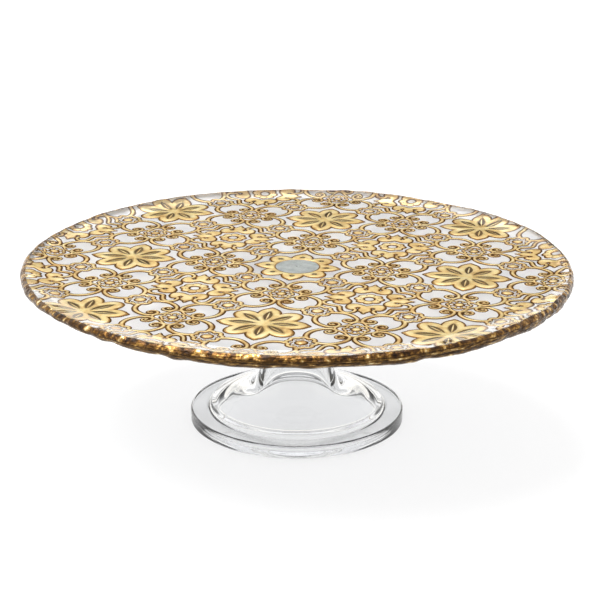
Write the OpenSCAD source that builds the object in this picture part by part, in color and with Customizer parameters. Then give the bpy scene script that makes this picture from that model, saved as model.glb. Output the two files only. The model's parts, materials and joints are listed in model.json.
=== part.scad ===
// Footed cake stand: a clear glass plate, gilded with a tile pattern under the glass,
// bonded to a clear glass foot.
// Frame: origin on the table under the middle of the foot, +Z up, the tile pattern
// square to X and Y. Millimetres and degrees.

/* [Plate] */
// Outer diameter of the plate, over the rim coat
plate_d = 333; // [300:1:360]
// Height of the flat serving surface above the table
serving_h = 100; // [90:1:130]
// Thickness of the flat part of the plate
plate_t = 6; // [5:0.5:8]
// Width of the raised border, from the end of the flat to the rim
border_w = 18.5; // [16:0.5:30]
// How far the rim stands above the flat
rim_rise = 2.2; // [1.8:0.1:4]
// Thickness of the glass at the rim
rim_t = 6.8; // [6:0.2:8]

/* [Decoration] */
// How many repeats of the tile pattern fit across the plate
tiles_across = 3.23; // [3:0.01:3.6]
// Thickness of the gold relief
gold_t = 0.8; // [0.5:0.1:1.2]
// Thickness of the pearl coat behind the gold
pearl_t = 0.6; // [0.4:0.1:1]
// Thickness of the gold coat on the rim
rim_coat_t = 0.5; // [0.3:0.1:0.8]
// Diameter of the clear window at the middle, where the foot is bonded
window_d = 27; // [24:1:30]

/* [Foot] */
// Outer diameter of the foot
foot_d = 132.4; // [120:0.4:150]
// Thickness of the foot's flange
flange_t = 8; // [7:0.5:10]
// Radius of the flange's upper edge
flange_round = 1.5; // [1:0.5:4]
// Diameter of the raised dome where it meets the flange
dome_d = 109; // [100:1:112]
// Height of the dome's shoulder above the table
shoulder_h = 16.6; // [15:0.2:20]
// Diameter of the stem
stem_d = 34.6; // [32:0.2:40]
// Diameter of the hollow under the foot, where it opens on the table
hollow_d = 98; // [90:1:98]
// Thickness of the solid glass between the top of the hollow and the bond
cap_t = 10; // [8:1:30]
// Thickness of the clear bond between the foot and the plate
bond_t = 1.8; // [1.6:0.1:2.4]

/* [Hidden] */

plate_r = plate_d / 2;
glass_r = plate_r - rim_coat_t;
nose_r = rim_t / 2;
nose_x = glass_r - nose_r;
nose_z = serving_h + rim_rise - nose_r;
flat_r = plate_r - border_w;
under_z = serving_h - plate_t;
border_slope = (nose_z - nose_r - under_z) / (nose_x - flat_r);
// The decoration stops a little inside the rounded rim
decor_r = nose_x - 0.6;
window_r = window_d / 2;

tile = plate_d / tiles_across;
// How many tiles out from the middle motifs are placed, and how far inside the edge of the
// decoration a motif must reach to be drawn
tile_reach = 2;
least_shown = 3;

// How far the coat wraps round the rim, as angles seen in section
coat_low = -75;
coat_high = 62;

foot_r = foot_d / 2;
// Radius of the edge that meets the table
corner_r = 1;
dome_r = dome_d / 2;
stem_r = stem_d / 2;
foot_top = under_z - bond_t;
hollow_h = foot_top - cap_t;

// The dome's shoulder is a quarter ellipse this wide, and the stem flares out to meet it
shoulder_w = 13;
shoulder_r = dome_r - shoulder_w;
flare_r = shoulder_r - 3.5;
flare_z = shoulder_h + 1.5;
flare_len = 9;
flare_ease = 0.74;
// Above 1, so that the points of the flare lie closer together where it bends most
flare_spread = 1.6;

// The hollow has the same kind of line: its own shoulder, then a flare into the stem
hollow_r = hollow_d / 2;
hollow_shoulder_w = 14;
hollow_shoulder_h = 9.5;
hollow_flare_r = hollow_r - hollow_shoulder_w - 3.5;
hollow_flare_z = hollow_shoulder_h + 1;
hollow_stem_r = 13;
hollow_flare_len = 10;
// Height of the hollow's rounded top
hollow_crown_h = 10;

// ---- outlines ----------------------------------------------------------------------

function arc(cx, cy, r, from, to, steps) =
  [for (i = [0:steps]) let (a = from + (to - from) * i / steps) [cx + r * cos(a), cy + r * sin(a)]];

function mirrored(points) = [for (i = [len(points) - 1:-1:0]) [points[i][0], -points[i][1]]];

// The unit direction of a line at point i
function heading(line, i) =
  let (
    a = line[max(i - 1, 0)],
    b = line[min(i + 1, len(line) - 1)],
    d = b - a
  ) d / norm(d);

// A band of width w along a line, as one closed outline
function band(line, w) =
  let (last = len(line) - 1)
  concat(
    [for (i = [0:last]) let (d = heading(line, i)) line[i] + [-d[1], d[0]] * w / 2],
    [for (i = [last:-1:0]) let (d = heading(line, i)) line[i] - [-d[1], d[0]] * w / 2]
  );

function turned(points, a) =
  [for (p = points) [p[0] * cos(a) - p[1] * sin(a), p[0] * sin(a) + p[1] * cos(a)]];

// The first number of each loop in one list of points
function starts(loops, i = 0, from = 0) =
  i == len(loops) ? [] : concat([from], starts(loops, i + 1, from + len(loops[i])));

// An outline, the first loop, with holes, the other loops
module pierced(loops) {
  first = starts(loops);
  polygon(
    points = [for (l = loops) each l],
    paths = [for (i = [0:len(loops) - 1]) [for (j = [0:len(loops[i]) - 1]) first[i] + j]]
  );
}

module ring2d(outer, inner) {
  difference() {
    circle(r = outer);
    circle(r = inner);
  }
}

// ---- the tile pattern, in tile widths ----------------------------------------------

star_notch = 0.165;
star_tip = 0.235;

// Eight rounded lobes with sharp notches between them
star_outline = [
  for (i = [0:47])
    let (a = i * 7.5, swell = pow(abs(cos(4 * a)), 0.7))
      (star_notch + (star_tip - star_notch) * swell) * [cos(a), sin(a)]
];

// A leaf-shaped groove in each lobe
groove = concat(
  [for (i = [0:4]) let (s = i / 4) [0.05 + 0.14 * s, 0.028 * sin(180 * s)]],
  [for (i = [3:-1:1]) let (s = i / 4) [0.05 + 0.14 * s, -0.028 * sin(180 * s)]]
);

module star() {
  pierced(concat([star_outline], [for (k = [0:7]) turned(groove, 45 * k)]));
}

// Half of a C-scroll: a long arm that follows the frame, a waist close to the axis,
// and a curl that winds round its own eye
curl_at = [0.066, 0.142];
arm = [[0.158, 0.242], [0.112, 0.241], [0.07, 0.226], [0.036, 0.196], [0.019, 0.158]];
curl = [for (i = [0:6]) let (a = 215 + 50 * i) curl_at + (0.038 - 0.0035 * i) * [cos(a), sin(a)]];
c_scroll = concat(arm, curl);

module scroll_frame() {
  for (k = [0:3])
    rotate(90 * k) {
      polygon(band(c_scroll, 0.024));
      mirror([1, 0]) polygon(band(c_scroll, 0.024));
    }
}

module scroll_medallion() {
  circle(r = 0.03);
  ring2d(0.066, 0.048);
  ring2d(0.1, 0.086);
  for (k = [0:3], side = [-1, 1])
    rotate(90 * k) translate([side * curl_at[0], curl_at[1]]) circle(r = 0.009);
}

// A bracket of the ring medallion: two round lobes with a heart-shaped tip
half_bracket = concat(
  [[0.128, 0]],
  arc(0.13, 0.062, 0.036, 215, 20, 6),
  [[0.158, 0.045], [0.192, 0.036], [0.205, 0.026]]
);
bracket = concat(half_bracket, [[0.246, 0]], [for (p = mirrored(half_bracket)) if (p[1] < 0) p]);

// A scroll across each corner of the ring medallion, the same on both sides of the diagonal
half_corner = [
  [0.196, 0.058], [0.212, 0.048], [0.232, 0.062], [0.236, 0.094], [0.214, 0.124], [0.178, 0.138]
];
corner_scroll = concat(
  half_corner,
  [[0.15, 0.15]],
  [for (i = [len(half_corner) - 1:-1:0]) [half_corner[i][1], half_corner[i][0]]]
);

module ring_medallion() {
  ring2d(0.073, 0.03);
  for (k = [0:3])
    rotate(90 * k) {
      polygon(bracket);
      polygon(band(corner_scroll, 0.02));
    }
}

module rosette() {
  circle(r = 0.03);
  ring2d(0.082, 0.05);
}

// ---- laying the pattern out under the plate ----------------------------------------

// The layer between two depths below the plate's underside, out to a radius
module layer(from, to, r) {
  rim_z = under_z + border_slope * (r - flat_r);
  rotate_extrude()
    polygon([
      [0, under_z - from], [0, under_z - to], [flat_r, under_z - to],
      [r, rim_z - to], [r, rim_z - from], [flat_r, under_z - from]
    ]);
}

// Does a motif of this reach, at this place in tile widths, come onto the plate?
function on_plate(x, y, reach) = norm([x, y]) * tile - reach * tile < decor_r - least_shown;

// Draws its child at the whole-number places shifted by (dx, dy)
module repeat(dx, dy, reach) {
  for (i = [-tile_reach:tile_reach], j = [-tile_reach:tile_reach])
    if (on_plate(i + dx, j + dy, reach))
      translate([(i + dx) * tile, (j + dy) * tile]) scale(tile) children();
}

// The gold relief of the pattern drawn by the children
module gild() {
  color([0.87, 0.68, 0.34])
    intersection() {
      layer(0, gold_t, decor_r);
      translate([0, 0, under_z - 2 * gold_t])
        linear_extrude(height = rim_rise + 4 * gold_t) children();
    }
}

module window_hole() {
  circle(r = window_r);
}

// ---- the parts ---------------------------------------------------------------------

module glass_plate() {
  color([0.86, 0.92, 0.92, 0.5])
    rotate_extrude()
      polygon(concat(
        [[0, under_z], [flat_r, under_z]],
        arc(nose_x, nose_z, nose_r, -90, 90, 12),
        [[flat_r, serving_h], [0, serving_h]]
      ));
}

module pearl_ground() {
  color([0.91, 0.9, 0.91])
    difference() {
      layer(gold_t, gold_t + pearl_t, decor_r);
      translate([0, 0, under_z - 10]) cylinder(r = window_r, h = 20);
    }
}

module gold_stars() {
  gild()
    difference() {
      repeat(0, 0, star_notch) star();
      window_hole();
    }
}

module gold_scrolls() {
  gild() {
    repeat(0.5, 0, 0.1) scroll_medallion();
    repeat(0, 0.5, 0.1) scroll_medallion();
  }
}

module gold_frames() {
  gild() {
    repeat(0.5, 0, 0.2) scroll_frame();
    repeat(0, 0.5, 0.2) scroll_frame();
  }
}

module gold_rings() {
  gild() repeat(0.5, 0.5, 0.2) ring_medallion();
}

module gold_rosettes() {
  gild()
    for (dx = [0.25, 0.75], dy = [0.25, 0.75]) repeat(dx, dy, 0.08) rosette();
}

module rim_coat() {
  color([0.62, 0.42, 0.16])
    rotate_extrude()
      polygon(concat(
        arc(nose_x, nose_z, nose_r, coat_high, coat_low, 10),
        arc(nose_x, nose_z, nose_r + rim_coat_t, coat_low, coat_high, 10)
      ));
}

module bond_disc() {
  color([0.72, 0.76, 0.77, 0.6])
    translate([0, 0, foot_top]) cylinder(r = window_r - 0.3, h = bond_t);
}

// A line that flares in from r0 at z0 towards r1, up to z1
function flare(r0, z0, r1, z1, length, steps) =
  [
    for (i = [0:steps])
      let (z = z0 + (z1 - z0) * pow(i / steps, flare_spread))
        [r1 + (r0 - r1) * exp(-pow((z - z0) / length, flare_ease)), z]
  ];

// A shoulder: a quarter ellipse from (r, z) inwards and up, without its last flat part
function shoulder(r, z, w, h) = [for (i = [0:6]) let (a = 12 * i) [r - w + w * cos(a), z + h * sin(a)]];

// The foot's outer line, from the table to the top of the stem
foot_line = concat(
  arc(foot_r - corner_r, corner_r, corner_r, -90, 0, 4),
  arc(foot_r - flange_round, flange_t - flange_round, flange_round, 0, 90, 8),
  shoulder(dome_r, flange_t, shoulder_w, shoulder_h - flange_t),
  flare(flare_r, flare_z, stem_r, foot_top, flare_len, 12)
);

// The hollow's line, from the table to its rounded top on the axis
hollow_neck = flare(
  hollow_flare_r, hollow_flare_z, hollow_stem_r, hollow_h - hollow_crown_h, hollow_flare_len, 10
);
crown_r = hollow_neck[len(hollow_neck) - 1][0];
hollow_line = concat(
  shoulder(hollow_r, 0, hollow_shoulder_w, hollow_shoulder_h),
  hollow_neck,
  [for (i = [1:6]) let (a = 15 * i) [crown_r * cos(a), hollow_h - hollow_crown_h * (1 - sin(a))]]
);

module glass_foot() {
  color([0.86, 0.9, 0.92, 0.5])
    rotate_extrude()
      polygon(concat(
        foot_line,
        [[0, foot_top]],
        [for (i = [len(hollow_line) - 1:-1:0]) hollow_line[i]]
      ));
}

glass_plate();
pearl_ground();
gold_stars();
gold_scrolls();
gold_rings();
gold_rosettes();
gold_frames();
rim_coat();
bond_disc();
glass_foot();
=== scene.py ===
"""Looks of the footed cake stand: gilt relief and pearl coat under a clear plate, on a clear foot."""

import json
import math

import bpy
import numpy as np
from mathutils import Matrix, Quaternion, Vector, geometry


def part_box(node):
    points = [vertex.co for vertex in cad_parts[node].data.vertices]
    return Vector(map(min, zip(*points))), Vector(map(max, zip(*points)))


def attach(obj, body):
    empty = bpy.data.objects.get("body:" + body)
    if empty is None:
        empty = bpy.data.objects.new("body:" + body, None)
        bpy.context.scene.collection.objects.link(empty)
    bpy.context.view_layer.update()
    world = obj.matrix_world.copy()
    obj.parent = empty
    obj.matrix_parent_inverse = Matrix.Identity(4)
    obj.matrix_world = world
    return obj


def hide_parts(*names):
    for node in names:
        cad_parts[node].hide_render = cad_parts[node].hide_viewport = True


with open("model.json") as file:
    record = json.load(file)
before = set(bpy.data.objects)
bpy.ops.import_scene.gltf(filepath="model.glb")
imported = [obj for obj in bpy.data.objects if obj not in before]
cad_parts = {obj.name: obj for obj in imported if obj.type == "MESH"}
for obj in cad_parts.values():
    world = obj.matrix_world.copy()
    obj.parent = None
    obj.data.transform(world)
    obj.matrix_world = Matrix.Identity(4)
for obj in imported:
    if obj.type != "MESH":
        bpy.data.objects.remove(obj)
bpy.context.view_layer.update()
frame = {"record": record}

MM = 0.001
BODY = "root"


# ---- sizes: from the frame, or the CAD's own dimensions where it has no box for them ----

_, plate_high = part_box("glass_plate")
_, coat_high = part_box("rim_coat")
bond_low, bond_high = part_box("bond_disc")
_, foot_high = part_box("glass_foot")

PLATE_R = coat_high.x
GLASS_R = plate_high.x
COAT_T = PLATE_R - GLASS_R
RIM_TOP = plate_high.z
UNDER_Z = bond_high.z
SERVING_Z = frame["record"]["mounts"][1]["pos_m"][2]
RIM_RISE = RIM_TOP - SERVING_Z
# The width of the raised border and the radius of the rim's rounded nose
BORDER_W = 18.5 * MM
FLAT_R = PLATE_R - BORDER_W
NOSE_R = 3.4 * MM
NOSE_X = GLASS_R - NOSE_R
NOSE_Z = RIM_TOP - NOSE_R
WINDOW_R = bond_high.x + 0.3 * MM
TILES_ACROSS = 3.23
TILE = 2 * PLATE_R / TILES_ACROSS

# The relief and the pearl coat lie in the underside of the glass, which comes down to SKIN_DEPTH.
# They get thinner over the rounded nose of the rim, which they wrap by WRAP, and the gold coat
# closes over them. DECOR_S is the length of their path from the middle outwards and up the nose.
PEARL_DEPTH = 1.2 * MM
PEARL_T = 0.4 * MM
SKIN_DEPTH = PEARL_DEPTH + PEARL_T / 2
RELIEF_GAP = 0.1 * MM
RIM_THIN = 0.34
NOSE_IN = NOSE_R - SKIN_DEPTH * RIM_THIN
WRAP = math.radians(128)
DECOR_S = NOSE_X + NOSE_IN * WRAP

# The foot: its flange, the rounding of the flange's edge, and the hollow under the dome and stem.
FLANGE_T = 8.0 * MM
EDGE_W = 1.5 * MM
EDGE_H = 1.5 * MM
FOOT_CORNER = 1.0 * MM
HOLLOW_R = 49.0 * MM
HOLLOW_TOP = foot_high.z - 10.0 * MM


# ---- small helpers ------------------------------------------------------------------


def make_mesh(name, verts, faces, materials, material_of=None, smooth=True):
    """A mesh object from points and faces. material_of gives each face's material by its number."""
    mesh = bpy.data.meshes.new(name)
    mesh.from_pydata([tuple(v) for v in verts], [], [tuple(f) for f in faces])
    for material in materials:
        mesh.materials.append(material)
    if material_of is not None:
        mesh.polygons.foreach_set("material_index", np.array(material_of, np.int32))
    if smooth:
        mesh.polygons.foreach_set("use_smooth", np.ones(len(mesh.polygons), bool))
    mesh.validate()
    mesh.update()
    thing = bpy.data.objects.new(name, mesh)
    bpy.context.scene.collection.objects.link(thing)
    return thing


def ride(thing, slot, *nodes):
    """Puts a finished piece on the body and hides the CAD nodes it stands for. The slot is not used."""
    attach(thing, BODY)
    if nodes:
        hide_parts(*nodes)
    return thing


def wave_noise(seed, cells_round, cells_up):
    """A smooth noise in -1..1 on (turns, height share), periodic in the turn, from a seeded grid."""
    grid = np.random.RandomState(seed).uniform(-1, 1, (cells_round, cells_up + 2))

    def sample(turn, share):
        x = (np.asarray(turn, float) % 1.0) * cells_round
        y = np.clip(np.asarray(share, float), 0, 1) * cells_up
        i, j = np.floor(x).astype(int), np.floor(y).astype(int)
        s, t = x - i, y - j
        s, t = s * s * (3 - 2 * s), t * t * (3 - 2 * t)
        a, b = i % cells_round, (i + 1) % cells_round
        low = grid[a, j] * (1 - s) + grid[b, j] * s
        high = grid[a, j + 1] * (1 - s) + grid[b, j + 1] * s
        return low * (1 - t) + high * t

    return sample


def catmull(points, per_span):
    """A smooth line through a few points, with per_span steps from each point to the next."""
    p = np.array(points, float)
    last = len(p) - 1
    out = []
    for i in range(last):
        a, b, c, d = (p[min(max(i + k - 1, 0), last)] for k in range(4))
        for k in range(per_span):
            t = k / per_span
            out.append(
                0.5 * ((2 * b) + (c - a) * t + (2 * a - 5 * b + 4 * c - d) * t**2
                       + (3 * b - a - 3 * c + d) * t**3)
            )
    out.append(p[-1])
    return np.array(out)


def quarter(r, z, wide, high, steps, start=0, end=90):
    """A quarter of an ellipse round (r, z), between two angles."""
    angles = np.radians(np.linspace(start, end, steps + 1))
    return [(r + wide * math.cos(a), z + high * math.sin(a)) for a in angles]


def turned(points, degrees):
    """Flat points turned round the origin, anticlockwise."""
    a = math.radians(degrees)
    c, s = math.cos(a), math.sin(a)
    return np.array(points) @ np.array([[c, s], [-s, c]])


def around(r, z, turns):
    """Points at radius r and height z, each a number or an array, for all the turns."""
    angle = 2 * math.pi * turns
    r, z = np.broadcast_to(r, turns.shape), np.broadcast_to(z, turns.shape)
    return np.stack([r * np.cos(angle), r * np.sin(angle), z], axis=1)


def ring_faces(count, steps, closed=False):
    """Quads between rings of equal length. A closed set also joins its last ring to its first."""
    faces = []
    for i in range(count if closed else count - 1):
        a, b = i * steps, (i + 1) % count * steps
        for k in range(steps):
            m = (k + 1) % steps
            faces.append((a + k, a + m, b + m, b + k))
    return faces


def pole_faces(first, pole, steps, flip=False):
    """Triangles from a ring, whose points start at number first, to one point on the axis."""
    faces = [(pole, first + k, first + (k + 1) % steps) for k in range(steps)]
    return [f[::-1] for f in faces] if flip else faces


def spin(profile, steps, name, material):
    """A lathe: profile is a list of (radius, z) turned about Z, with a radius of 0 at both ends."""
    turns = np.arange(steps) / steps
    verts = np.concatenate([around(r, z, turns) for r, z in profile[1:-1]])
    poles = [(0, 0, profile[0][1]), (0, 0, profile[-1][1])]
    rings = len(profile) - 2
    faces = ring_faces(rings, steps)
    faces += pole_faces(0, len(verts), steps, flip=True)
    faces += pole_faces((rings - 1) * steps, len(verts) + 1, steps)
    return make_mesh(name, np.concatenate([verts, poles]).tolist(), faces, [material])


# ---- the view and the light levels --------------------------------------------------

VIEW_AZIMUTH = math.radians(10.26)
VIEW_ELEVATION = math.radians(19.04)
VIEW_ROLL = math.radians(0.25)
VIEW_DISTANCE = 1.0165
VIEW_AIM = Vector((0.0017, 0.0, 0.0767))
LENS = 99.6
SENSOR_WIDTH = 36

FLOOR_SIDE = 12.0
FLOOR_LEVEL = -0.4 * MM
FLOOR_GLOW = 0.70
LIT_SPOT = (0, 0, 0.1)

# The sky's colour by height
OPEN_SKY = [
    (0.0, (1.35, 1.32, 1.25)), (0.19, (1.30, 1.26, 1.18)), (0.26, (1.0, 1.0, 1.0)),
    (0.9, (1.15, 1.15, 1.15)),
]
# Dark screens in the sky: the direction of their middle, the cosines of the angles from it where
# each starts and where it is full, and how much light it lets through by height
AHEAD = (-math.sin(VIEW_AZIMUTH), math.cos(VIEW_AZIMUTH), 0)
BEHIND = (math.sin(VIEW_AZIMUTH), -math.cos(VIEW_AZIMUTH), 0)
SCREENS = [
    (AHEAD, 0.82, 0.88, [(0.20, 1.0), (0.25, 0.08), (0.36, 0.08), (0.41, 1.0)]),
    (BEHIND, 0.45, 0.60, [(0.0, 0.5), (0.7, 0.5), (0.8, 1.0)]),
]


# ---- materials ----------------------------------------------------------------------


def new_material(name, sockets):
    """A material with plain values on its shader's sockets, by their names."""
    material = bpy.data.materials.new(name)
    material.use_nodes = True
    tree = material.node_tree
    shader = tree.nodes["Principled BSDF"]
    for socket, value in sockets.items():
        shader.inputs[socket].default_value = value
    return material, tree, shader


def node(tree, kind, **values):
    """A new node; each value goes to its socket of that name, or else to its property."""
    made = tree.nodes.new(kind)
    for key, value in values.items():
        if key in made.inputs:
            made.inputs[key].default_value = value
        else:
            setattr(made, key, value)
    return made


def ramp(tree, source, stops):
    """A colour ramp over a value; stops are (place, colour)."""
    made = tree.nodes.new("ShaderNodeValToRGB")
    elements = made.color_ramp.elements
    elements.remove(elements[1])
    elements[0].position = 0.0
    elements[0].color = (*stops[0][1], 1)
    for place, colour in stops:
        elements.new(max(place, 0.0001)).color = (*colour, 1)
    tree.links.new(source, made.inputs["Fac"])
    return made.outputs["Color"]


def blend(tree, factor, low, high, blend_type="MIX"):
    """Two colours mixed or multiplied, by a factor that is a number or a socket."""
    made = node(tree, "ShaderNodeMix", data_type="RGBA", blend_type=blend_type)
    if isinstance(factor, float):
        made.inputs["Factor"].default_value = factor
    else:
        tree.links.new(factor, made.inputs["Factor"])
    tree.links.new(low, made.inputs[6])
    tree.links.new(high, made.inputs[7])
    return made.outputs[2]


def share_between(tree, value, low, high):
    """How far a value is on its way from low to high, from 0 to 1."""
    made = node(tree, "ShaderNodeMapRange")
    made.inputs["From Min"].default_value = low
    made.inputs["From Max"].default_value = high
    tree.links.new(value, made.inputs["Value"])
    return made.outputs["Result"]


def object_coords(tree):
    """The place on the object, in metres."""
    return tree.nodes.new("ShaderNodeTexCoord").outputs["Object"]


def noise(tree, vector, scale, detail, roughness=0.5):
    """A smooth noise from 0 to 1 over some coordinates."""
    made = node(tree, "ShaderNodeTexNoise", Scale=scale, Detail=detail, Roughness=roughness)
    tree.links.new(vector, made.inputs["Vector"])
    return made.outputs["Fac"]


def mottle(tree, shader, cloud, stops):
    """Colours the shader by a noise, through a ramp."""
    tree.links.new(ramp(tree, cloud, stops), shader.inputs["Base Color"])


def bump(tree, shader, height, strength, distance):
    """Roughens the shader's surface by a height."""
    made = node(tree, "ShaderNodeBump", Strength=strength, Distance=distance)
    tree.links.new(height, made.inputs["Height"])
    tree.links.new(made.outputs["Normal"], shader.inputs["Normal"])


PALE_GILT = [
    (0.28, (0.58, 0.34, 0.11)), (0.42, (0.84, 0.61, 0.26)), (0.54, (0.95, 0.78, 0.39)),
    (0.72, (1.0, 0.90, 0.58)),
]
# Gilt darkened with painted shade, for the slopes of the relief
PAINTED_SHADE_GILT = [(0.28, (0.36, 0.17, 0.035)), (0.48, (0.56, 0.30, 0.08)), (0.72, (0.78, 0.50, 0.18))]


def gold_material(name, colours):
    """Gilt, warmer and darker in patches, with a fine hammered grain."""
    material, tree, shader = new_material(name, {"Metallic": 0.55, "Roughness": 0.38})
    where = object_coords(tree)
    mottle(tree, shader, noise(tree, where, 95, 5, 0.6), colours)
    bump(tree, shader, noise(tree, where, 900, 2), 0.25, 0.2 * MM)
    return material


def edge_shade_material():
    """Painted shade in dark brown at the foot of the relief, round the gilt."""
    sockets = {"Specular IOR Level": 0.05, "Roughness": 0.6}
    material, tree, shader = new_material("bronze_edge", sockets)
    colours = [(0.3, (0.085, 0.036, 0.006)), (0.7, (0.20, 0.095, 0.020))]
    mottle(tree, shader, noise(tree, object_coords(tree), 120, 3), colours)
    return material


def groove_shade_material():
    """Painted shade in brown, for the cut grooves of the relief."""
    material, tree, shader = new_material("groove_brown", {"Metallic": 0.2, "Roughness": 0.5})
    colours = [(0.3, (0.14, 0.08, 0.027)), (0.7, (0.30, 0.19, 0.075))]
    mottle(tree, shader, noise(tree, object_coords(tree), 90, 3), colours)
    return material


def pearl_material():
    """Pearl white paint, mottled between a cool and a warm white."""
    material, tree, shader = new_material("pearl_white", {"Roughness": 0.45})
    where = object_coords(tree)
    colours = [(0.3, (0.76, 0.77, 0.81)), (0.5, (0.84, 0.84, 0.865)), (0.75, (0.89, 0.88, 0.875))]
    mottle(tree, shader, noise(tree, where, 55, 5, 0.6), colours)
    bump(tree, shader, noise(tree, where, 420, 3), 0.3, 0.2 * MM)
    return material


def around_coords(tree, along, upright):
    """Coordinates that run round the rim and up it: waves per radian and per metre of height. Also
    gives the height itself."""
    split = tree.nodes.new("ShaderNodeSeparateXYZ")
    tree.links.new(object_coords(tree), split.inputs["Vector"])
    turn = node(tree, "ShaderNodeMath", operation="ARCTAN2")
    tree.links.new(split.outputs["Y"], turn.inputs[0])
    tree.links.new(split.outputs["X"], turn.inputs[1])
    joined = tree.nodes.new("ShaderNodeCombineXYZ")
    for source, factor, place in ((turn.outputs[0], along, "X"), (split.outputs["Z"], upright, "Y")):
        scaled = node(tree, "ShaderNodeMath", operation="MULTIPLY")
        tree.links.new(source, scaled.inputs[0])
        scaled.inputs[1].default_value = factor
        tree.links.new(scaled.outputs[0], joined.inputs[place])
    return joined.outputs["Vector"], split.outputs["Z"]


# The wall's blotches by a noise, from near black to amber; the palest stop is a painted glint
WALL_COLOURS = [
    (0.34, (0.008, 0.003, 0.001)), (0.45, (0.040, 0.018, 0.003)), (0.53, (0.12, 0.060, 0.012)),
    (0.60, (0.30, 0.17, 0.045)), (0.69, (0.95, 0.82, 0.50)),
]
# The crest's streaks by a noise, likewise; the palest stop is a painted glint
CREST_COLOURS = [
    (0.34, (0.012, 0.004, 0.001)), (0.44, (0.060, 0.024, 0.003)), (0.53, (0.17, 0.080, 0.014)),
    (0.61, (0.42, 0.24, 0.06)), (0.70, (1.0, 0.84, 0.50)),
]
# The dark line between wall and crest, by the share of the way up
LINE_SHADE = [
    (0.0, (1, 1, 1)), (0.30, (1, 1, 1)), (0.45, (0.35, 0.32, 0.30)), (0.55, (0.35, 0.32, 0.30)),
    (0.70, (1, 1, 1)),
]


def amber_material():
    """The gold coat of the rim: blotches from near black to amber on the wall, a dark line above it,
    and streaks across the crest; the palest blotches and streaks are painted glints."""
    sockets = {"Metallic": 0.7, "Roughness": 0.14, "Specular IOR Level": 0.4}
    material, tree, shader = new_material("amber_rim", sockets)
    wall_at, height = around_coords(tree, 22, 560)
    crest_at, _ = around_coords(tree, 46, 260)
    wall = ramp(tree, noise(tree, wall_at, 1.0, 5, 0.65), WALL_COLOURS)
    crest = ramp(tree, noise(tree, crest_at, 1.0, 4, 0.6), CREST_COLOURS)
    up = share_between(tree, height, NOSE_Z + 0.3 * MM, NOSE_Z + 2.1 * MM)
    colour = blend(tree, up, wall, crest)
    shaded = blend(tree, 1.0, colour, ramp(tree, up, LINE_SHADE), "MULTIPLY")
    tree.links.new(shaded, shader.inputs["Base Color"])
    bump(tree, shader, noise(tree, wall_at, 1.6, 4), 0.8, 1.4 * MM)
    return material


def highlight_material():
    """A painted highlight on the rim's wall, pale cream with faint amber clouds."""
    material, tree, shader = new_material("cream_gloss", {"Roughness": 0.2})
    colours = [(0.35, (0.86, 0.74, 0.52)), (0.6, (1.0, 0.96, 0.80))]
    mottle(tree, shader, noise(tree, object_coords(tree), 260, 3), colours)
    return material


def glass_material(name, ior, tint):
    """Clear glass with a faint tint."""
    sockets = {"Base Color": (*tint, 1), "Roughness": 0.0, "IOR": ior, "Transmission Weight": 1.0}
    return new_material(name, sockets)[0]


def bond_material():
    """Clear cured bond over the ground top of the stem: a soft cloudy grey."""
    material, tree, shader = new_material("bond_grey", {"Roughness": 0.35})
    colours = [(0.3, (0.34, 0.38, 0.39)), (0.7, (0.56, 0.60, 0.61))]
    mottle(tree, shader, noise(tree, object_coords(tree), 160, 4, 0.6), colours)
    return material


def floor_material():
    """A pale board that glows a little, like a light table, so that shadows on it stay faint."""
    sockets = {
        "Base Color": (0.30, 0.30, 0.30, 1),
        "Specular IOR Level": 0.0,
        "Roughness": 0.6,
        "Emission Color": (1, 1, 1, 1),
        "Emission Strength": FLOOR_GLOW,
    }
    return new_material("studio_floor", sockets)[0]


GOLD = gold_material("gilt_relief", PALE_GILT)
# The slopes' gilt, darkened with painted shade
SHADE = gold_material("gilt_slope", PAINTED_SHADE_GILT)
EDGE_SHADE = edge_shade_material()
GROOVE_SHADE = groove_shade_material()
PEARL = pearl_material()
AMBER = amber_material()
PAINTED_HIGHLIGHT = highlight_material()
PLATE_GLASS = glass_material("plate_clear", 1.45, (0.985, 0.99, 0.985))
FOOT_GLASS = glass_material("foot_clear", 1.5, (0.935, 0.942, 0.948))
BOND = bond_material()


# ---- the plate's surfaces -----------------------------------------------------------

slow_ripple = wave_noise(11, 22, 2)
lump_ripple = wave_noise(15, 130, 3)
fast_ripple = wave_noise(12, 360, 4)
fine_ripple = wave_noise(13, 700, 9)
roughness_ripple = wave_noise(14, 9, 1)

# Above 1, so that the border rises gently at first
BORDER_EASE = 1.35


def border_share(r):
    """How far a radius is across the raised border, from 0 at the flat to 1 at the nose."""
    return np.clip((np.asarray(r, float) - FLAT_R) / (NOSE_X - FLAT_R), 0, 1)


def smooth_step(value, low, high):
    """Eases from 0 at low to 1 at high."""
    t = np.clip((np.asarray(value, float) - low) / (high - low), 0, 1)
    return t * t * (3 - 2 * t)


def top_height(r):
    """The height of the plate's upper face."""
    return SERVING_Z + RIM_RISE * border_share(r) ** BORDER_EASE


def under_height(r):
    """The height of the plate's underside, under the clear glass."""
    return UNDER_Z + (NOSE_Z - NOSE_IN - UNDER_Z) * border_share(r) ** BORDER_EASE


def under_point(s, depth):
    """Radius and height at a depth below the plate's underside. The path s runs out from the middle
    and then up round the nose, so the decoration wraps round the rim."""
    s = np.asarray(s, float)
    turn = np.maximum(s - NOSE_X, 0) / NOSE_IN
    r = np.where(s > NOSE_X, NOSE_X + (NOSE_IN + depth) * np.sin(turn), s)
    z = np.where(s > NOSE_X, NOSE_Z - (NOSE_IN + depth) * np.cos(turn), under_height(s) - depth)
    return r, z


def thinning(s):
    """The thickness of the coats as a share of their thickness under the flat."""
    return 1 - (1 - RIM_THIN) * smooth_step(s, FLAT_R + 4 * MM, NOSE_X)


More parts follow.
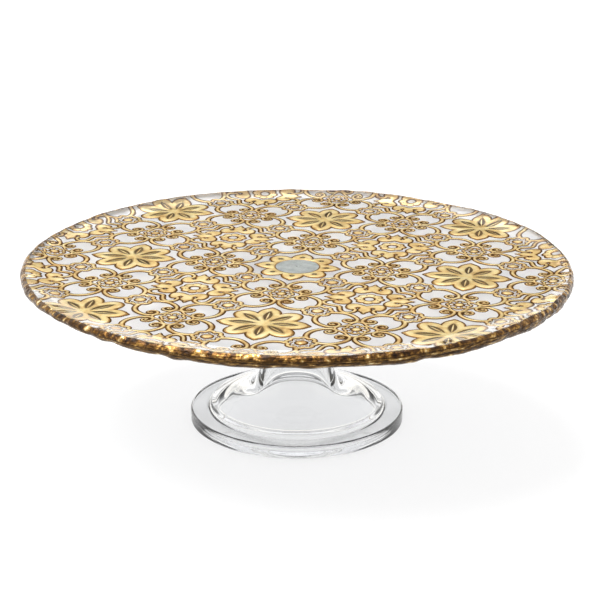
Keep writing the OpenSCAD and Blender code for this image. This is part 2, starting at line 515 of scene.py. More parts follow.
# Where along the rim, in turns, the ridges across it are deepest, and how far they reach
RIDGED_AT = 0.955
RIDGED_SPAN = 0.07
# Where the rim is thinner, how far that reaches, and by how much its lower side is lifted
THIN_AT = 0.6
THIN_SPAN = 0.11
THIN_LIFT = 2.1 * MM
# How far the rim wavers up and down, and how far inside its nose the lumps start
SWAY = 0.45 * MM
LUMPS_WIDTH = 7 * MM


def near_turn(turn, at, span):
    """A smooth hump round the rim: 1 at one turn, falling away over a span of turns."""
    off = (np.asarray(turn, float) - at + 0.5) % 1.0 - 0.5
    return np.exp(-((off / span) ** 2))


def rim_offset(turn, height):
    """How far the hand-worked rim stands out or in, by turn and by height share of its section."""
    rough = 0.5 + 0.5 * (0.5 + 0.5 * roughness_ripple(turn, 0))
    low = 1 - height
    ridged = near_turn(turn, RIDGED_AT, RIDGED_SPAN)
    wide = 0.30 * MM * slow_ripple(turn, 0.8)
    lumps = (0.24 + 0.46 * low) * MM * lump_ripple(turn, height * 0.6)
    ridges = (0.13 + 0.34 * ridged) * (1 - 0.4 * low) * MM * fast_ripple(turn, height) * rough
    grain = 0.09 * MM * fine_ripple(turn, height) * rough
    return wide + lumps + ridges + grain


def hand_worked(points):
    """The unevenness of the plate, the same for all its layers: the rim is thinner at one side, a
    little wavy in height, and lumpy and ridged round its nose."""
    p = np.array(points, float)
    r = np.hypot(p[:, 0], p[:, 1])
    angle = np.arctan2(p[:, 1], p[:, 0])
    turn = angle / (2 * math.pi)
    lift = THIN_LIFT * near_turn(turn, THIN_AT, THIN_SPAN)
    low_share = np.clip((RIM_TOP - p[:, 2]) / (2 * NOSE_R), 0, 1.3)
    edge = smooth_step(r, FLAT_R, NOSE_X)
    section = np.arctan2(p[:, 2] - NOSE_Z, r - NOSE_X)
    section = np.where(r < NOSE_X, np.sign(p[:, 2] - NOSE_Z) * math.pi / 2, section)
    push = rim_offset(turn, (np.sin(section) + 1) / 2) * smooth_step(r, NOSE_X - LUMPS_WIDTH, NOSE_X)
    new_r = r + push * np.cos(section)
    p[:, 2] += push * np.sin(section) + edge * (lift * low_share + SWAY * slow_ripple(turn, 0.3))
    p[:, 0] = new_r * np.cos(angle)
    p[:, 1] = new_r * np.sin(angle)
    return p


def nose_ring(angle, stand, turns):
    """Points round the rim at one angle of its section, standing off the glass."""
    out = NOSE_R + stand
    return around(NOSE_X + out * np.cos(angle), NOSE_Z + out * np.sin(angle), turns)


RIM_STEPS = 1440
# Radii of the rings of points in the flat of the plate
FLAT_RINGS = [0.03, 0.08, 0.12]


def plate_glass():
    """The clear plate, one closed skin from the middle of its underside over the rim to the top."""
    steps = RIM_STEPS
    turns = np.arange(steps) / steps
    rings = []
    for r in (*FLAT_RINGS, *np.linspace(FLAT_R - 2 * MM, NOSE_X, 12)):
        rings.append(around(*under_point(r, SKIN_DEPTH * thinning(r)), turns))
    for angle in np.linspace(-85, 90, 22):
        rings.append(nose_ring(math.radians(angle), 0, turns))
    for r in np.linspace(NOSE_X - 0.5 * MM, FLAT_R - 2 * MM, 26):
        near = smooth_step(r, FLAT_R, NOSE_X - 4 * MM)
        streaks = 0.030 * MM * fast_ripple(turns, near) + 0.06 * MM * lump_ripple(turns, near)
        rings.append(around(r, top_height(r) + near * streaks, turns))
    for r in FLAT_RINGS[::-1]:
        rings.append(around(r, SERVING_Z, turns))
    verts = np.concatenate(rings)
    faces = ring_faces(len(rings), steps)
    faces += pole_faces(0, len(verts), steps, flip=True)
    faces += pole_faces((len(rings) - 1) * steps, len(verts) + 1, steps)
    poles = [(0, 0, UNDER_Z - SKIN_DEPTH), (0, 0, SERVING_Z)]
    verts = hand_worked(np.concatenate([verts, poles]))
    plate = make_mesh("plate_glass", verts.tolist(), faces, [PLATE_GLASS])
    return ride(plate, "plate_glass", "glass_plate")


# The gold coat on the rim: its rows of faces from under the border to the crest, the gap between
# its inner face and the glass, and how far that face comes in past the end of the decoration
COAT_ROWS = 40
COAT_GAP = 0.12 * MM
COAT_SINK = 0.18 * MM

# The painted highlight, a cream streak on the wall: where it starts and how far it runs, in turns,
# and its middle and half width, in rows of the coat
HIGHLIGHT_START = 0.625
HIGHLIGHT_SPAN = 0.075
HIGHLIGHT_ROW = 9.5
HIGHLIGHT_HALF = 1.6


def highlight_faces():
    """The numbers of the coat's faces that the painted cream highlight covers."""
    covered = []
    for k in range(RIM_STEPS):
        turn = k / RIM_STEPS
        along = (turn - HIGHLIGHT_START) / HIGHLIGHT_SPAN
        if not 0 < along < 1:
            continue
        middle = HIGHLIGHT_ROW + 1.2 * lump_ripple(turn, 0.5)
        half = HIGHLIGHT_HALF * math.sin(math.pi * along) ** 0.5
        rows = [row for row in range(1, COAT_ROWS) if abs(row + 0.5 - middle) < half]
        covered += [row * RIM_STEPS + k for row in rows]
    return covered


def rim_coat():
    """The gold coat: a closed band that starts under the border and laps up over the rim's crest. A
    long painted highlight, a cream streak, runs along its wall at one side."""
    turns = np.arange(RIM_STEPS) / RIM_STEPS
    front = 0.5 - 0.5 * np.sin(2 * math.pi * turns)
    top = np.radians(72 + 10 * front + 4 * lump_ripple(turns, 0.2) + 4 * fast_ripple(turns, 0.1))
    decor_end = WRAP - math.pi / 2
    r_in = NOSE_X - 4 * MM
    _, z_in = under_point(r_in, SKIN_DEPTH * thinning(r_in))
    outer = [around(r_in, z_in - COAT_T, turns)]
    inner = [around(r_in, z_in - COAT_GAP, turns)]
    for row in range(COAT_ROWS):
        angle = -math.pi / 2 + (top + math.pi / 2) * row / (COAT_ROWS - 1)
        fade = 1 - 0.85 * smooth_step(row, 0.88 * COAT_ROWS, COAT_ROWS)
        outer.append(nose_ring(angle, COAT_T * fade, turns))
        sink = COAT_SINK * smooth_step(angle, decor_end - 0.2, decor_end)
        inner.append(nose_ring(angle, COAT_GAP - sink, turns))
    rings = outer + inner[::-1]
    verts = hand_worked(np.concatenate(rings))
    faces = ring_faces(len(rings), RIM_STEPS, closed=True)
    which = np.zeros(len(faces), int)
    # The faces under the painted cream highlight take the second material
    which[highlight_faces()] = 1
    band = make_mesh("rim_band", verts.tolist(), faces, [AMBER, PAINTED_HIGHLIGHT], which)
    return ride(band, "amber_gold", "rim_coat")


def pearl_coat():
    """The pearl coat behind the gold, a thin sheet with the round window at its middle."""
    steps = 1080
    turns = np.arange(steps) / steps
    path = [WINDOW_R, 0.05, 0.09, 0.12]
    path += list(np.linspace(FLAT_R - 2 * MM, NOSE_X, 12))
    path += list(np.linspace(NOSE_X, DECOR_S, 15)[1:])
    top, low = [], []
    for s in path:
        top.append(around(*under_point(s, PEARL_DEPTH * thinning(s)), turns))
        low.append(around(*under_point(s, (PEARL_DEPTH + PEARL_T) * thinning(s)), turns))
    rings = top + low[::-1]
    verts = hand_worked(np.concatenate(rings))
    faces = [f[::-1] for f in ring_faces(len(rings), steps, closed=True)]
    sheet = make_mesh("pearl_coat", verts.tolist(), faces, [PEARL])
    return ride(sheet, "pearl_coat", "pearl_ground")


# ---- relief in tile widths ----------------------------------------------------------
# A relief is a list of points (x, y, height share) and faces, each with the number of a material:
# pale gilt on top, and painted shade in dark brown at the foot, in brown in grooves and in darker gilt on
# the slopes.

GOLD_SIDE = 0
EDGE_SHADE_SIDE = 1
GROOVE_SHADE_SIDE = 2
SHADED_SLOPE_SIDE = 3

# What all the shapes share: the width of their margin of painted shade, the height of its outer edge,
# which is sunk into the pearl, then its step, and the wall where the gilt starts
EDGE = 0.0100
STEP_OUT = 0.8
SUNK_H = -0.08
STEP_H = 0.22
WALL_H = 0.42


class Relief:
    """Collects the points and faces of one motif, in tile widths and shares of the relief's height."""

    def __init__(self):
        self.verts = []
        self.faces = []
        self.which = []
        self.flat = []

    def loop(self, points, height):
        """Adds a row of points at one height, or at a height for each, and gives their numbers."""
        first = len(self.verts)
        heights = np.broadcast_to(height, (len(points),))
        self.verts += [(float(x), float(y), float(h)) for (x, y), h in zip(points, heights)]
        return list(range(first, first + len(points)))

    def bridge(self, low, high, which, closed=True):
        """Joins two rows of points with quads; closed rows run round."""
        count = len(low)
        for k in range(count if closed else count - 1):
            m = (k + 1) % count
            self.add((low[k], low[m], high[m], high[k]), which)

    def add(self, face, which, flat=False):
        """Adds one face with its material, shaded flat or smooth."""
        self.faces.append(tuple(face))
        self.which.append(which)
        self.flat.append(flat)

    def refine(self, triangles, longest):
        """Cuts triangles at the middles of their long edges until no edge is over the limit."""
        middles = {}

        def middle(a, b):
            key = (min(a, b), max(a, b))
            if key not in middles:
                middles[key] = len(self.verts)
                self.verts.append(tuple((p + q) / 2 for p, q in zip(self.verts[a], self.verts[b])))
            return middles[key]

        def long(a, b):
            return math.dist(self.verts[a][:2], self.verts[b][:2]) > longest

        done = []
        while triangles:
            waiting = []
            for a, b, c in triangles:
                marks = [long(a, b), long(b, c), long(c, a)]
                if not any(marks):
                    done.append((a, b, c))
                    continue
                while not marks[0] or (sum(marks) == 2 and not marks[1]):
                    a, b, c = b, c, a
                    marks = marks[1:] + marks[:1]
                ab = middle(a, b)
                if sum(marks) == 1:
                    waiting += [(a, ab, c), (ab, b, c)]
                    continue
                bc = middle(b, c)
                if sum(marks) == 2:
                    waiting += [(ab, b, bc), (a, ab, bc), (a, bc, c)]
                    continue
                ca = middle(c, a)
                waiting += [(a, ab, ca), (ab, b, bc), (bc, c, ca), (ab, bc, ca)]
            triangles = waiting
        return done

    def fill(self, loops, which):
        """Fills between an outer loop and hole loops with triangles."""
        flat = [i for loop in loops for i in loop]
        shapes = [[Vector((*self.verts[i][:2], 0)) for i in loop] for loop in loops]
        triangles = []
        for tri in geometry.tessellate_polygon(shapes):
            a, b, c = (flat[i] for i in tri)
            p, q, r = (np.array(self.verts[i][:2]) for i in (a, b, c))
            u, v = q - p, r - p
            if u[0] * v[1] - u[1] * v[0] < 0:
                b, c = c, b
            triangles.append((a, b, c))
        for tri in self.refine(triangles, 0.03):
            self.add(tri, which, flat=True)

    def merge(self, other, degrees=0.0, mirror=False, shift=(0.0, 0.0)):
        """Adds a copy of another relief, mirrored in X, then turned, then shifted."""
        first = len(self.verts)
        points = np.array(other.verts)
        if mirror:
            points = points * np.array([-1, 1, 1])
        placed = turned(points[:, :2], degrees) + np.array(shift)
        self.verts += [(x, y, h) for (x, y), h in zip(placed.tolist(), points[:, 2].tolist())]
        for face, which, flat in zip(other.faces, other.which, other.flat):
            moved = tuple(first + i for i in face)
            self.add(moved[::-1] if mirror else moved, which, flat)

    def merge_round(self, other, radius, first):
        """Adds eight copies of another relief in a circle, from a first angle in degrees."""
        for k in range(8):
            a = math.radians(first + 45 * k)
            self.merge(other, shift=(radius * math.cos(a), radius * math.sin(a)))


def normals(points, closed):
    """Unit normals to the right of travel, so outward for a loop that winds anticlockwise."""
    p = np.array(points, float)
    if closed:
        d = np.roll(p, -1, axis=0) - np.roll(p, 1, axis=0)
    else:
        d = np.gradient(p, axis=0)
    d /= np.maximum(np.linalg.norm(d, axis=1, keepdims=True), 1e-12)
    return np.stack([d[:, 1], -d[:, 0]], axis=1)


def grown(points, amount):
    """A closed loop that winds anticlockwise, moved outwards by an amount."""
    return np.array(points) + normals(points, True) * amount


def polar_loop(radius_of, steps):
    """A loop round the origin, anticlockwise, with its radius given by angle."""
    angles = [2 * math.pi * k / steps for k in range(steps)]
    return np.array([[radius_of(a) * math.cos(a), radius_of(a) * math.sin(a)] for a in angles])


# Across a ribbon, from its foot to its middle: share of the half width, share of the painted-shade
# margin added to it, height share, and the material of the strip above
RIBBON = [
    (1.0, 1.0, SUNK_H, EDGE_SHADE_SIDE),
    (1.0, STEP_OUT, STEP_H, EDGE_SHADE_SIDE),
    (1.0, 0.0, WALL_H, SHADED_SLOPE_SIDE),
    (0.70, 0.0, 0.80, GOLD_SIDE),
    (0.36, 0.0, 0.98, GOLD_SIDE),
]


def ribbon(line, width, closed=False, height=1.0, edge=EDGE, end_width=None, narrows_at=0.0):
    """A half-round bead along a line, gold on top and painted shade at its foot. An open bead can narrow
    to end_width from a share of its length on."""
    made = Relief()
    p = np.array(line, float)
    n = normals(p, closed)
    half = np.full(len(p), width / 2)
    margin = np.full(len(p), edge)
    if not closed:
        steps = np.linalg.norm(np.diff(p, axis=0), axis=1)
        along = np.concatenate([[0], np.cumsum(steps)])
        if end_width is not None:
            late = np.clip((along / along[-1] - narrows_at) / (1 - narrows_at), 0, 1)
            half = half * (1 - late) + end_width / 2 * late
            margin = margin * (1 - 0.55 * late)
        gap = np.minimum(along, along[-1] - along) / (half * 1.2)
        round_off = np.sqrt(np.clip(1 - (1 - np.clip(gap, 0, 1)) ** 2, 0.0, 1))
        half = half * (0.12 + 0.88 * round_off)
        margin = margin * (0.5 + 0.5 * round_off)
    rows = []
    for side, order in ((1, RIBBON), (-1, RIBBON[::-1])):
        for share, extra, h, _ in order:
            out = side * (half * share + margin * extra)
            rows.append((p + n * out[:, None], h * height))
    loops = [made.loop(points, h) for points, h in rows]
    climb = [which for _, _, _, which in RIBBON[:-1]]
    for low, high, which in zip(loops, loops[1:], climb + [GOLD_SIDE] + climb[::-1]):
        made.bridge(low, high, which, closed)
    if not closed:
        for at in (0, -1):
            ends = [loop[at] for loop in loops]
            made.add(ends if at == 0 else ends[::-1], EDGE_SHADE_SIDE)
    return made


def mound(outline, holes=(), grooves=(), height=1.0, soft=0.012, lip=None):
    """A raised shape with softened edges. Holes go right through to the pearl; a groove is three
    loops, its lip, its brink and its floor, with the height shares of the brink and the floor."""
    made = Relief()
    rims = []
    for points, sign in [(outline, 1)] + [(h, -1) for h in holes]:
        points = np.array(points, float)
        if sign < 0:
            points = points[::-1]
        inner = grown(points, -soft) if lip is None or sign < 0 else np.array(lip)
        foot = made.loop(grown(points, EDGE), SUNK_H * height)
        step = made.loop(grown(points, EDGE * STEP_OUT), STEP_H * height)
        wall = made.loop(points, WALL_H * height)
        shoulder = made.loop(points * 0.5 + inner * 0.5, 0.80 * height)
        brow = made.loop(inner, 1.0 * height)
        # The foot and step are painted shade in dark brown; the wall's slope is gilt darkened with
        # painted shade
        made.bridge(foot, step, EDGE_SHADE_SIDE)
        made.bridge(step, wall, EDGE_SHADE_SIDE)
        made.bridge(wall, shoulder, SHADED_SLOPE_SIDE)
        made.bridge(shoulder, brow, GOLD_SIDE)
        rims.append(brow if sign > 0 else brow[::-1])
    for lip_points, brink_points, floor_points, brink_height, floor_height in grooves:
        edge = made.loop(lip_points, 1.0 * height)
        brink = made.loop(brink_points, brink_height * height)
        floor = made.loop(floor_points, floor_height * height)
        made.bridge(brink, edge, GOLD_SIDE)
        # The groove's walls carry the painted shade
        made.bridge(floor, brink, GROOVE_SHADE_SIDE)
        made.fill([floor], GOLD_SIDE)
        rims.append(edge[::-1])
    made.fill(rims, GOLD_SIDE)
    return made


def dome(radius, height=1.0, steps=24, edge=EDGE):
    """A round bead with a foot of painted shade."""
    made = Relief()
    ring = polar_loop(lambda a: 1.0, steps)
    levels = [
        (radius + edge, SUNK_H, EDGE_SHADE_SIDE),
        (radius + STEP_OUT * edge, STEP_H, EDGE_SHADE_SIDE),
        (radius, WALL_H, SHADED_SLOPE_SIDE),
        (0.82 * radius, 0.74, GOLD_SIDE),
        (0.55 * radius, 0.96, GOLD_SIDE),
        (0.2 * radius, 1.05, GOLD_SIDE),
    ]
    loops = [made.loop(ring * r, h * height) for r, h, _ in levels]
    for (low, high), (_, _, which) in zip(zip(loops, loops[1:]), levels):
        made.bridge(low, high, which)
    made.fill([loops[-1]], GOLD_SIDE)
    return made


def disc(radius, height, which, steps=20):
    """A thin flat disc of one material: the painted shade inside a curl, and the brown dots of the ring
    medallion.
    """
    made = Relief()
    ring = polar_loop(lambda a: 1.0, steps)
    low = made.loop(ring * radius, -0.05)
    high = made.loop(ring * radius * 0.9, height)
    made.bridge(low, high, which)
    made.fill([high], which)
    return made


def scallops(radius, depth, count, steps):
    """A loop of round scallops that bulge outwards."""
    return polar_loop(lambda a: radius + depth * (abs(math.cos(count * a / 2)) ** 0.8 - 0.5), steps)


# ---- the motifs ---------------------------------------------------------------------

STAR_NOTCH = 0.162
STAR_TIP = 0.240


def leaf(inner, outer, half_width, steps=10):
    """A leaf-shaped loop along +X, wound anticlockwise."""
    shares = [k / steps for k in range(steps + 1)]
    low = [(inner + (outer - inner) * s, -half_width * math.sin(math.pi * s) ** 0.85) for s in shares]
    high = [(x, -y) for x, y in low[1:-1][::-1]]
    return np.array(low + high)


def star_radius(a, tipped=True):
    """The star's outline: broad lobes on the diagonals, and lobes with a small tip on the axes."""
    on_axis = round(a / (math.pi / 4)) % 2 == 0
    swell = abs(math.cos(4 * a)) ** (0.95 if on_axis else 0.75)
    off = math.remainder(a, math.pi / 4)
    tip = 0.014 * math.exp(-((off / 0.05) ** 2)) if on_axis and tipped else 0.0
    return STAR_NOTCH + (STAR_TIP - STAR_NOTCH) * swell + tip


def star_motif(window=False):
    """The eight-petalled star flower: rounded petals, each with a leaf-shaped groove."""
    outline = polar_loop(star_radius, 192)
    lip = polar_loop(lambda a: star_radius(a, False) - 0.019, 192)
    holes, grooves = [], []
    inner = 0.034
    if window:
        hole_r = WINDOW_R / TILE
        holes = [polar_loop(lambda a: hole_r, 64)]
        inner = hole_r + 0.017
    half = 0.030 if not window else 0.02
    for k in range(8):
        edge = turned(leaf(inner, 0.202, half), 45 * k)
        brink = turned(leaf(inner + 0.012, 0.192, half * 0.8), 45 * k)
        floor = turned(leaf(inner + 0.022, 0.176, 0.0045), 45 * k)
        grooves.append((edge, brink, floor, 0.86, 0.25))
    return mound(outline, holes, grooves, lip=lip)


CURL_AT = np.array([0.060, 0.134])


def c_scroll_line():
    """From the rosette along the frame, down past the axis, and round into the curl."""
    arm = [(0.176, 0.232), (0.145, 0.243), (0.105, 0.241), (0.066, 0.224), (0.036, 0.194), (0.018, 0.163)]
    curl = []
    for i in range(15):
        turn = 30 * i
        a = math.radians(185 + turn)
        r = 0.046 * math.exp(-0.0031 * turn)
        curl.append(CURL_AT + r * np.array([math.cos(a), math.sin(a)]))
    return catmull(arm + [tuple(c) for c in curl], 4)


def frame_motif():
    """Eight C-scrolls round a scroll medallion."""
    made = Relief()
    scroll = ribbon(c_scroll_line(), 0.0210, end_width=0.0075, narrows_at=0.35)
    # A sheet of painted shade in the eye of each curl
    shade = disc(0.034, 0.12, EDGE_SHADE_SIDE)
    for k in range(4):
        for side in (1, -1):
            made.merge(scroll, 90 * k, mirror=side < 0)
            eye = turned([CURL_AT * np.array([side, 1])], 90 * k)[0]
            made.merge(shade, shift=tuple(eye))
    return made


def scroll_motif():
    """The heart of a scroll medallion: a bead, a ring of dots and two lacy rings."""
    made = Relief()
    made.merge(dome(0.024))
    made.merge_round(dome(0.0058, 0.75, 10, 0.004), 0.0415, 22.5)
    made.merge(ribbon(scallops(0.060, 0.012, 8, 96), 0.0125, closed=True, edge=0.007))
    diamond = polar_loop(lambda a: 0.080 + 0.034 * abs(math.cos(2 * a)) ** 2.4, 112)
    made.merge(ribbon(diamond, 0.0125, closed=True, edge=0.008))
    for k in range(4):
        for side in (-1, 1):
            eye = turned([CURL_AT * np.array([side, 1])], 90 * k)[0]
            made.merge(dome(0.0085, 0.9, 12, 0.005), 90 * k, shift=tuple(eye))
    return made


def bracket_outline():
    """A two-legged bracket with a heart-shaped tip between the legs, along +X."""
    upper = [
        (0.126, 0.0), (0.113, 0.02), (0.099, 0.042), (0.094, 0.066), (0.100, 0.090), (0.122, 0.105),
        (0.152, 0.105), (0.177, 0.095), (0.188, 0.079), (0.183, 0.063), (0.166, 0.056), (0.152, 0.050),
        (0.146, 0.040), (0.152, 0.031), (0.170, 0.031), (0.192, 0.036), (0.208, 0.029), (0.222, 0.014),
        (0.250, 0.0),
    ]
    smooth_half = catmull(upper, 4)
    mirrored = np.array([(x, -y) for x, y in smooth_half[::-1][1:-1]])
    return np.concatenate([smooth_half, mirrored])[::-1]


def corner_line():
    """The scroll across a corner of a ring medallion, the same on both sides of the diagonal."""
    half = [
        (0.170, 0.070), (0.182, 0.054), (0.204, 0.050), (0.229, 0.061), (0.243, 0.084), (0.240, 0.108),
        (0.220, 0.128), (0.190, 0.138), (0.168, 0.142),
    ]
    other = [(y, x) for x, y in half[::-1]]
    return catmull(half + [(0.149, 0.149)] + other, 6)


def scalloped_ring(hole, radius, depth):
    """A flat-topped ring with eight scallops and a round hole."""
    made = Relief()
    steps = 96
    # Foot and step in painted shade, slopes in gilt darkened with painted shade
    outside = [
        (EDGE, SUNK_H, EDGE_SHADE_SIDE), (STEP_OUT * EDGE, STEP_H, EDGE_SHADE_SIDE), (0.0, WALL_H, SHADED_SLOPE_SIDE),
        (-0.005, 0.82, GOLD_SIDE), (-0.010, 1.0, GOLD_SIDE),
    ]
    inside = [
        (0.008, 1.0, GOLD_SIDE), (0.004, 0.82, SHADED_SLOPE_SIDE), (0.0, WALL_H, EDGE_SHADE_SIDE),
        (-STEP_OUT * EDGE, STEP_H, EDGE_SHADE_SIDE), (-EDGE, SUNK_H, EDGE_SHADE_SIDE),
    ]
    rows = [made.loop(scallops(radius + grow, depth, 8, steps), h) for grow, h, _ in outside]
    rows += [made.loop(scallops(hole + grow, 0.0, 8, steps), h) for grow, h, _ in inside]
    for low, high, (_, _, which) in zip(rows, rows[1:], outside + inside):
        made.bridge(low, high, which)
    return made


def ring_motif():
    """The ring medallion: a scalloped ring with dots, four brackets and four corner scrolls."""
    made = Relief()
    made.merge(scalloped_ring(0.034, 0.073, 0.014))
    # The dots take the brown of the grooves' painted shade
    made.merge_round(disc(0.0055, 1.05, GROOVE_SHADE_SIDE, 10), 0.0535, 22.5)
    block = mound(bracket_outline(), soft=0.0095)
    corner = ribbon(corner_line(), 0.0170, edge=0.0115)
    for k in range(4):
        made.merge(block, 90 * k)
        made.merge(corner, 90 * k)
    return made


def rosette_motif():
    """The small rosette: a bead in a ring of dots and a scalloped ring."""
    made = Relief()
    made.merge(dome(0.029, 1.05))
    made.merge_round(dome(0.0055, 0.7, 10, 0.003), 0.0505, 0)
    made.merge(ribbon(scallops(0.0735, 0.016, 8, 96), 0.019, closed=True, edge=0.0075))
    return made


# ---- laying the motifs out under the plate ------------------------------------------


RELIEF_END = DECOR_S - 0.3 * MM


def under_plate(local, spot):
    """A motif's points at a spot under the plate, each on the pearl coat at its own height. Points
    past the end of the relief are drawn back to it. Also says which points were inside."""
    flat = (local[:, :2] + np.array(spot)) * TILE
    s = np.linalg.norm(flat, axis=1)
    inside = s <= RELIEF_END
    unit = flat / np.maximum(s, 1e-9)[:, None]
    s = np.minimum(s, RELIEF_END)
    stand = local[:, 2] * (PEARL_DEPTH - RELIEF_GAP)
    r, z = under_point(s, (PEARL_DEPTH - stand) * thinning(s))
    return hand_worked(np.column_stack([unit * r[:, None], z])).tolist(), inside.tolist()


def lay_out(name, motif, spots, *nodes):
    """Repeats a motif at spots in tile widths, and leaves out the faces that lie past the rim."""
    local = np.array(motif.verts)
    verts, faces, which, flats = [], [], [], []
    for spot in spots:
        points, inside = under_plate(local, spot)
        kept = [k for k, face in enumerate(motif.faces) if any(inside[i] for i in face)]
        used = sorted({i for k in kept for i in motif.faces[k]})
        number = {i: len(verts) + place for place, i in enumerate(used)}
        verts += [points[i] for i in used]
        faces += [tuple(number[i] for i in motif.faces[k]) for k in kept]
        which += [motif.which[k] for k in kept]
        flats += [motif.flat[k] for k in kept]
    thing = make_mesh(name, verts, faces, [GOLD, EDGE_SHADE, GROOVE_SHADE, SHADE], which)
    if len(thing.data.polygons) == len(flats):
        thing.data.polygons.foreach_set("use_smooth", ~np.array(flats))
    return ride(thing, "gold_relief", *nodes)


def places(dx, dy):
    """All the whole-number places shifted by (dx, dy)."""
    return [(i + dx, j + dy) for i in range(-2, 3) for j in range(-2, 3)]


def on_plate(spots, reach):
    """The spots where a motif with this reach in tile widths still shows on the plate."""
    return [p for p in spots if math.hypot(*p) * TILE < DECOR_S + (reach - 0.02) * TILE]


def decoration():
    """The gold relief: each kind of motif at its places in the square tile pattern."""
    stars = on_plate([p for p in places(0, 0) if p != (0, 0)], STAR_TIP)
    medallions = places(0.5, 0) + places(0, 0.5)
    quarters = [p for dx in (0.25, 0.75) for dy in (0.25, 0.75) for p in places(dx, dy)]
    lay_out("gold_star_flowers", star_motif(), stars, "gold_stars")
    lay_out("gold_centre_star", star_motif(window=True), [(0, 0)])
    lay_out("gold_scroll_hearts", scroll_motif(), on_plate(medallions, 0.12), "gold_scrolls")
    lay_out("gold_scroll_frames", frame_motif(), on_plate(medallions, 0.25), "gold_frames")
    lay_out("gold_ring_medallions", ring_motif(), on_plate(places(0.5, 0.5), 0.25), "gold_rings")
    lay_out("gold_rosette_flowers", rosette_motif(), on_plate(quarters, 0.09), "gold_rosettes")


# ---- the foot and the bond ----------------------------------------------------------

# Radius and height in millimetres. The hollow runs down to the table, from below its rounded top;
# the dome and stem run up from the flange to the bond.
HOLLOW_LINE = [
    (13.7, 58.0), (14.6, 44.0), (16.5, 32.0), (19.5, 23.2), (24.0, 16.0), (29.5, 11.8), (36.0, 9.5),
    (42.0, 7.8), (46.5, 5.4), (48.5, 2.8),
]
RISE_LINE = [
    (56.2, 8.0), (54.9, 8.4), (54.0, 9.6), (53.0, 11.8), (51.0, 13.8), (47.5, 15.5), (42.5, 16.8),
    (37.5, 18.1), (33.0, 19.8), (29.0, 22.3), (25.8, 25.8), (23.2, 30.5), (21.3, 36.0), (20.0, 43.0),
    (19.0, 52.0), (18.2, 64.0), (17.8, 78.0), (17.6, 89.0),
]
# The rounded top of the hollow: radius, and depth below its highest point, in millimetres
CROWN = [(0.0, 0.0), (6.0, 0.8), (11.0, 4.0), (13.1, 11.0)]
DOME_R = 57.0 * MM
STEM_R = 17.4 * MM


def in_metres(points):
    """An outline in millimetres, turned into metres."""
    return [(r * MM, z * MM) for r, z in points]


def foot_profile():
    """The foot's line: the hollow from its top down to the table, round the flange, over the dome
    and up the stem to the bond."""
    foot_r, top = foot_high.x, foot_high.z
    crown = [(r * MM, HOLLOW_TOP - down * MM) for r, down in CROWN]
    hollow = crown + in_metres(HOLLOW_LINE) + [(HOLLOW_R, 0.0)]
    line = [tuple(p) for p in catmull(hollow, 6)]
    line.append((HOLLOW_R + 0.5 * MM, 0.0))
    line += quarter(foot_r - FOOT_CORNER, FOOT_CORNER, FOOT_CORNER, FOOT_CORNER, 8, -90, 0)
    line += quarter(foot_r - EDGE_W, FLANGE_T - EDGE_H, EDGE_W, EDGE_H, 16)
    line += [(foot_r - EDGE_W - 0.3 * MM, FLANGE_T), (DOME_R, FLANGE_T)]
    line += [tuple(p) for p in catmull(in_metres(RISE_LINE), 6)]
    line += [(STEM_R, top - 0.6 * MM), (STEM_R - 0.6 * MM, top), (10 * MM, top), (0.0, top)]
    return line


def foot_piece():
    """The clear foot."""
    foot = spin(foot_profile(), 256, "foot_glass", FOOT_GLASS)
    return ride(foot, "foot_glass", "glass_foot")


def bond_piece():
    """The bond seen through the window: a disc with a gently uneven top, where the glue cured."""
    steps = 96
    turns = np.arange(steps) / steps
    radius = bond_high.x
    uneven = wave_noise(21, 11, 5)
    rings = []
    for share in np.linspace(0.04, 1.0, 22):
        rise = 0.16 * MM * uneven(turns, share) * (1 - share**4)
        rings.append(around(radius * share, bond_high.z - 0.25 * MM + rise, turns))
    for share in (1.0, 0.5, 0.04):
        rings.append(around(radius * share, bond_low.z + 0.05 * MM, turns))
    verts = np.concatenate(rings).tolist()
    faces = [f[::-1] for f in ring_faces(len(rings), steps, closed=True)]
    return ride(make_mesh("bond_window", verts, faces, [BOND]), "clear_bond", "bond_disc")


# ---- the studio ---------------------------------------------------------------------


def camera():
    """The camera at the photo's angle, looking at VIEW_AIM."""
    ahead = Vector((
        -math.sin(VIEW_AZIMUTH) * math.cos(VIEW_ELEVATION),
        math.cos(VIEW_AZIMUTH) * math.cos(VIEW_ELEVATION),
        -math.sin(VIEW_ELEVATION),
    ))
    data = bpy.data.cameras.new("camera")
    data.lens = LENS
    data.sensor_width = SENSOR_WIDTH
    thing = bpy.data.objects.new("camera", data)
    thing.location = VIEW_AIM - ahead * VIEW_DISTANCE
    thing.rotation_mode = "QUATERNION"
    thing.rotation_quaternion = ahead.to_track_quat("-Z", "Y") @ Quaternion((0, 0, 1), VIEW_ROLL)
    bpy.context.scene.collection.objects.link(thing)
    bpy.context.scene.camera = thing


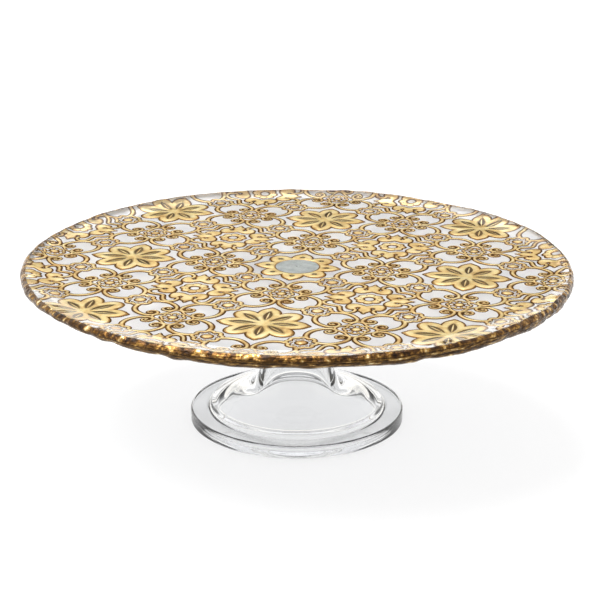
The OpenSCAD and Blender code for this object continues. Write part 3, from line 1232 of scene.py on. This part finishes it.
def area_light(name, place, size, power):
    """A round soft light that faces the plate."""
    data = bpy.data.lights.new(name, "AREA")
    data.shape = "DISK"
    data.size = size
    data.energy = power
    thing = bpy.data.objects.new(name, data)
    thing.location = place
    thing.rotation_mode = "QUATERNION"
    thing.rotation_quaternion = (Vector(LIT_SPOT) - Vector(place)).to_track_quat("-Z", "Y")
    bpy.context.scene.collection.objects.link(thing)


def floor_board():
    """A flat square that the foot stands on."""
    side = FLOOR_SIDE / 2
    corners = [(-side, -side), (side, -side), (side, side), (-side, side)]
    verts = [(x, y, FLOOR_LEVEL) for x, y in corners]
    floor = make_mesh("studio_floor", verts, [(0, 1, 2, 3)], [floor_material()], smooth=False)


def screened(tree, way, height, shade, screen):
    """The sky's colour with one dark screen in front of it."""
    middle, start, full, levels = screen
    facing = node(tree, "ShaderNodeVectorMath", operation="DOT_PRODUCT")
    tree.links.new(way, facing.inputs[0])
    facing.inputs[1].default_value = middle
    reach = share_between(tree, facing.outputs["Value"], start, full)
    dimmed = ramp(tree, height, [(place, (level, level, level)) for place, level in levels])
    return blend(tree, reach, shade, dimmed, "MULTIPLY")


def sky():
    """A bright open sky, with the screens in it."""
    world = bpy.data.worlds.new("studio")
    bpy.context.scene.world = world
    world.use_nodes = True
    tree = world.node_tree
    way = tree.nodes.new("ShaderNodeTexCoord").outputs["Generated"]
    split = tree.nodes.new("ShaderNodeSeparateXYZ")
    tree.links.new(way, split.inputs["Vector"])
    height = split.outputs["Z"]
    shade = ramp(tree, height, OPEN_SKY)
    for screen in SCREENS:
        shade = screened(tree, way, height, shade, screen)
    background = tree.nodes["Background"]
    tree.links.new(shade, background.inputs["Color"])
    background.inputs["Strength"].default_value = 1.0


def studio():
    """The floor, the sky and two soft lights."""
    floor_board()
    sky()
    area_light("back", (-0.35, 0.70, 1.75), 0.9, 26)
    area_light("key", (-0.65, -0.45, 1.65), 1.0, 18)
    bpy.context.scene.view_settings.view_transform = "Standard"


camera()
studio()
plate_glass()
rim_coat()
pearl_coat()
decoration()
bond_piece()
foot_piece()
